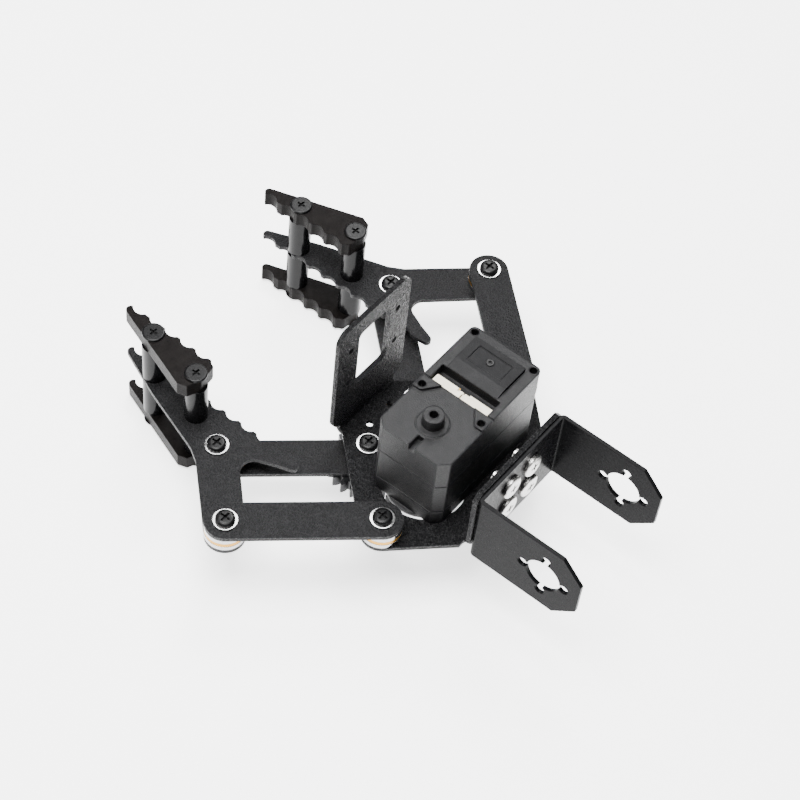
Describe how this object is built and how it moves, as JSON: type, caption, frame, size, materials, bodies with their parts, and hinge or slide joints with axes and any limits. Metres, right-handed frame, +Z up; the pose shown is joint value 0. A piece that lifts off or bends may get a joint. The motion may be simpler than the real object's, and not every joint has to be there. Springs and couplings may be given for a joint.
{
  "type": "two-jaw robot gripper",
  "caption": "Parallel-jaw gripper with a servo-driven gear linkage, a camera bracket and a forked wrist yoke.",
  "frame": {"origin": "middle of the wrist axis, halfway between the yoke's two ears", "axes": "+X from the wrist towards the finger tips, +Y along the wrist axis to the gripper's left, +Z up, away from the base plate on the servo's side"},
  "size_m": [0.1557, 0.1348, 0.0675],
  "materials": {
    "textured_black": "fine wrinkle powder coat",
    "satin_black": "smooth satin coat",
    "bare_steel": "bright zinc",
    "bearing_steel": "ground and polished",
    "black_screw": "black oxide",
    "horn_metal": "satin anodised",
    "servo_plastic": "fine spark-eroded grain",
    "cover_plastic": "semi-gloss",
    "connector_plastic": "moulded nylon",
    "brass_part": "machined",
    "board": "solder mask",
    "gear_black": "black anodised",
    "finger_black": "satin anodised",
    "standoff_black": "glossy anodised"
  },
  "bodies": {
    "base": {"base_plate": "textured_black", "wrist_yoke": "satin_black", "yoke_screws": "bare_steel", "servo_lower_case": "servo_plastic", "servo_middle_case": "servo_plastic", "servo_upper_case": "servo_plastic", "servo_rear_cover": "cover_plastic", "servo_label_plate": "cover_plastic", "servo_cover_screw": "black_screw", "servo_case_screws": "bare_steel", "servo_mount_screws": "black_screw", "servo_connectors": "connector_plastic", "connector_pins": "brass_part", "control_board": "board", "servo_motor": "bare_steel", "gear_axles": "bare_steel", "output_bearing": "bearing_steel", "base_pivot_screws": "black_screw", "base_pivot_nuts": "bare_steel", "base_flange_bearings": "bearing_steel", "base_thrust_races": "bearing_steel"},
    "drive": {"output_shaft": "brass_part", "servo_horn": "horn_metal", "drive_spacer": "gear_black", "drive_gear": "gear_black", "horn_screws": "black_screw"},
    "motor_gear": {"motor_pinion": "brass_part"},
    "first_gear": {"reduction_gear_1": "brass_part"},
    "second_gear": {"reduction_gear_2": "brass_part"},
    "left_link": {"left_inner_link": "textured_black", "left_link_gear": "gear_black", "left_gear_screws": "bare_steel", "left_link_bearings": "bearing_steel"},
    "right_link": {"right_inner_link": "textured_black", "right_link_gear": "gear_black", "right_gear_screws": "bare_steel", "right_link_bearings": "bearing_steel"},
    "left_guide": {"left_outer_link": "textured_black", "left_outer_bearings": "bearing_steel"},
    "right_guide": {"right_outer_link": "textured_black", "right_outer_bearings": "bearing_steel"},
    "left_jaw": {"left_jaw_plate": "textured_black", "left_upper_finger": "finger_black", "left_lower_finger": "finger_black", "left_standoffs": "standoff_black", "left_finger_screws": "black_screw", "left_jaw_pivot_screws": "black_screw", "left_jaw_bearings": "bearing_steel"},
    "right_jaw": {"right_jaw_plate": "textured_black", "right_upper_finger": "finger_black", "right_lower_finger": "finger_black", "right_standoffs": "standoff_black", "right_finger_screws": "black_screw", "right_jaw_pivot_screws": "black_screw", "right_jaw_bearings": "bearing_steel"}
  },
  "joints": [
    {"name": "left_link_hinge", "type": "hinge", "parent": "base", "child": "left_link", "pos_m": [0.068, 0.011, -0.0174], "axis": [0, 0, 1], "range_deg": [-42, 33]},
    {"name": "right_link_hinge", "type": "hinge", "parent": "base", "child": "right_link", "pos_m": [0.068, -0.011, -0.0174], "axis": [0, 0, 1], "range_deg": [-33, 42]},
    {"name": "servo_output_hinge", "type": "hinge", "parent": "base", "child": "drive", "pos_m": [0.0475, 0.011, -0.0174], "axis": [0, 0, 1], "range_deg": [-38.3, 48.7]},
    {"name": "second_gear_hinge", "type": "hinge", "parent": "base", "child": "second_gear", "pos_m": [0.049, 0.00061, -0.0054], "axis": [0, 0, 1], "range_deg": [-122, 96]},
    {"name": "first_gear_hinge", "type": "hinge", "parent": "base", "child": "first_gear", "pos_m": [0.0438, -0.00612, -0.0024], "axis": [0, 0, 1], "range_deg": [-176, 223]},
    {"name": "motor_gear_hinge", "type": "hinge", "parent": "base", "child": "motor_gear", "pos_m": [0.0475, -0.01377, -0.0012], "axis": [0, 0, 1], "range_deg": [-409, 322]},
    {"name": "left_guide_hinge", "type": "hinge", "parent": "base", "child": "left_guide", "pos_m": [0.0465, 0.032, -0.0054], "axis": [0, 0, 1], "range_deg": [-42, 33]},
    {"name": "right_guide_hinge", "type": "hinge", "parent": "base", "child": "right_guide", "pos_m": [0.0465, -0.032, -0.0054], "axis": [0, 0, 1], "range_deg": [-33, 42]},
    {"name": "left_jaw_hinge", "type": "hinge", "parent": "left_link", "child": "left_jaw", "pos_m": [0.1007, 0.04044, -0.0112], "axis": [0, 0, 1], "range_deg": [-33, 42]},
    {"name": "right_jaw_hinge", "type": "hinge", "parent": "right_link", "child": "right_jaw", "pos_m": [0.1007, -0.04044, -0.0112], "axis": [0, 0, 1], "range_deg": [-42, 33]}
  ],
  "couplings": [
    {"joint": "right_link_hinge", "follows": "left_link_hinge", "ratio": -1},
    {"joint": "servo_output_hinge", "follows": "left_link_hinge", "ratio": -1.1579},
    {"joint": "second_gear_hinge", "follows": "left_link_hinge", "ratio": 2.8947},
    {"joint": "first_gear_hinge", "follows": "left_link_hinge", "ratio": -5.307},
    {"joint": "motor_gear_hinge", "follows": "left_link_hinge", "ratio": 9.7295},
    {"joint": "left_guide_hinge", "follows": "left_link_hinge", "ratio": 1},
    {"joint": "right_guide_hinge", "follows": "left_link_hinge", "ratio": -1},
    {"joint": "left_jaw_hinge", "follows": "left_link_hinge", "ratio": -1},
    {"joint": "right_jaw_hinge", "follows": "left_link_hinge", "ratio": 1}
  ]
}
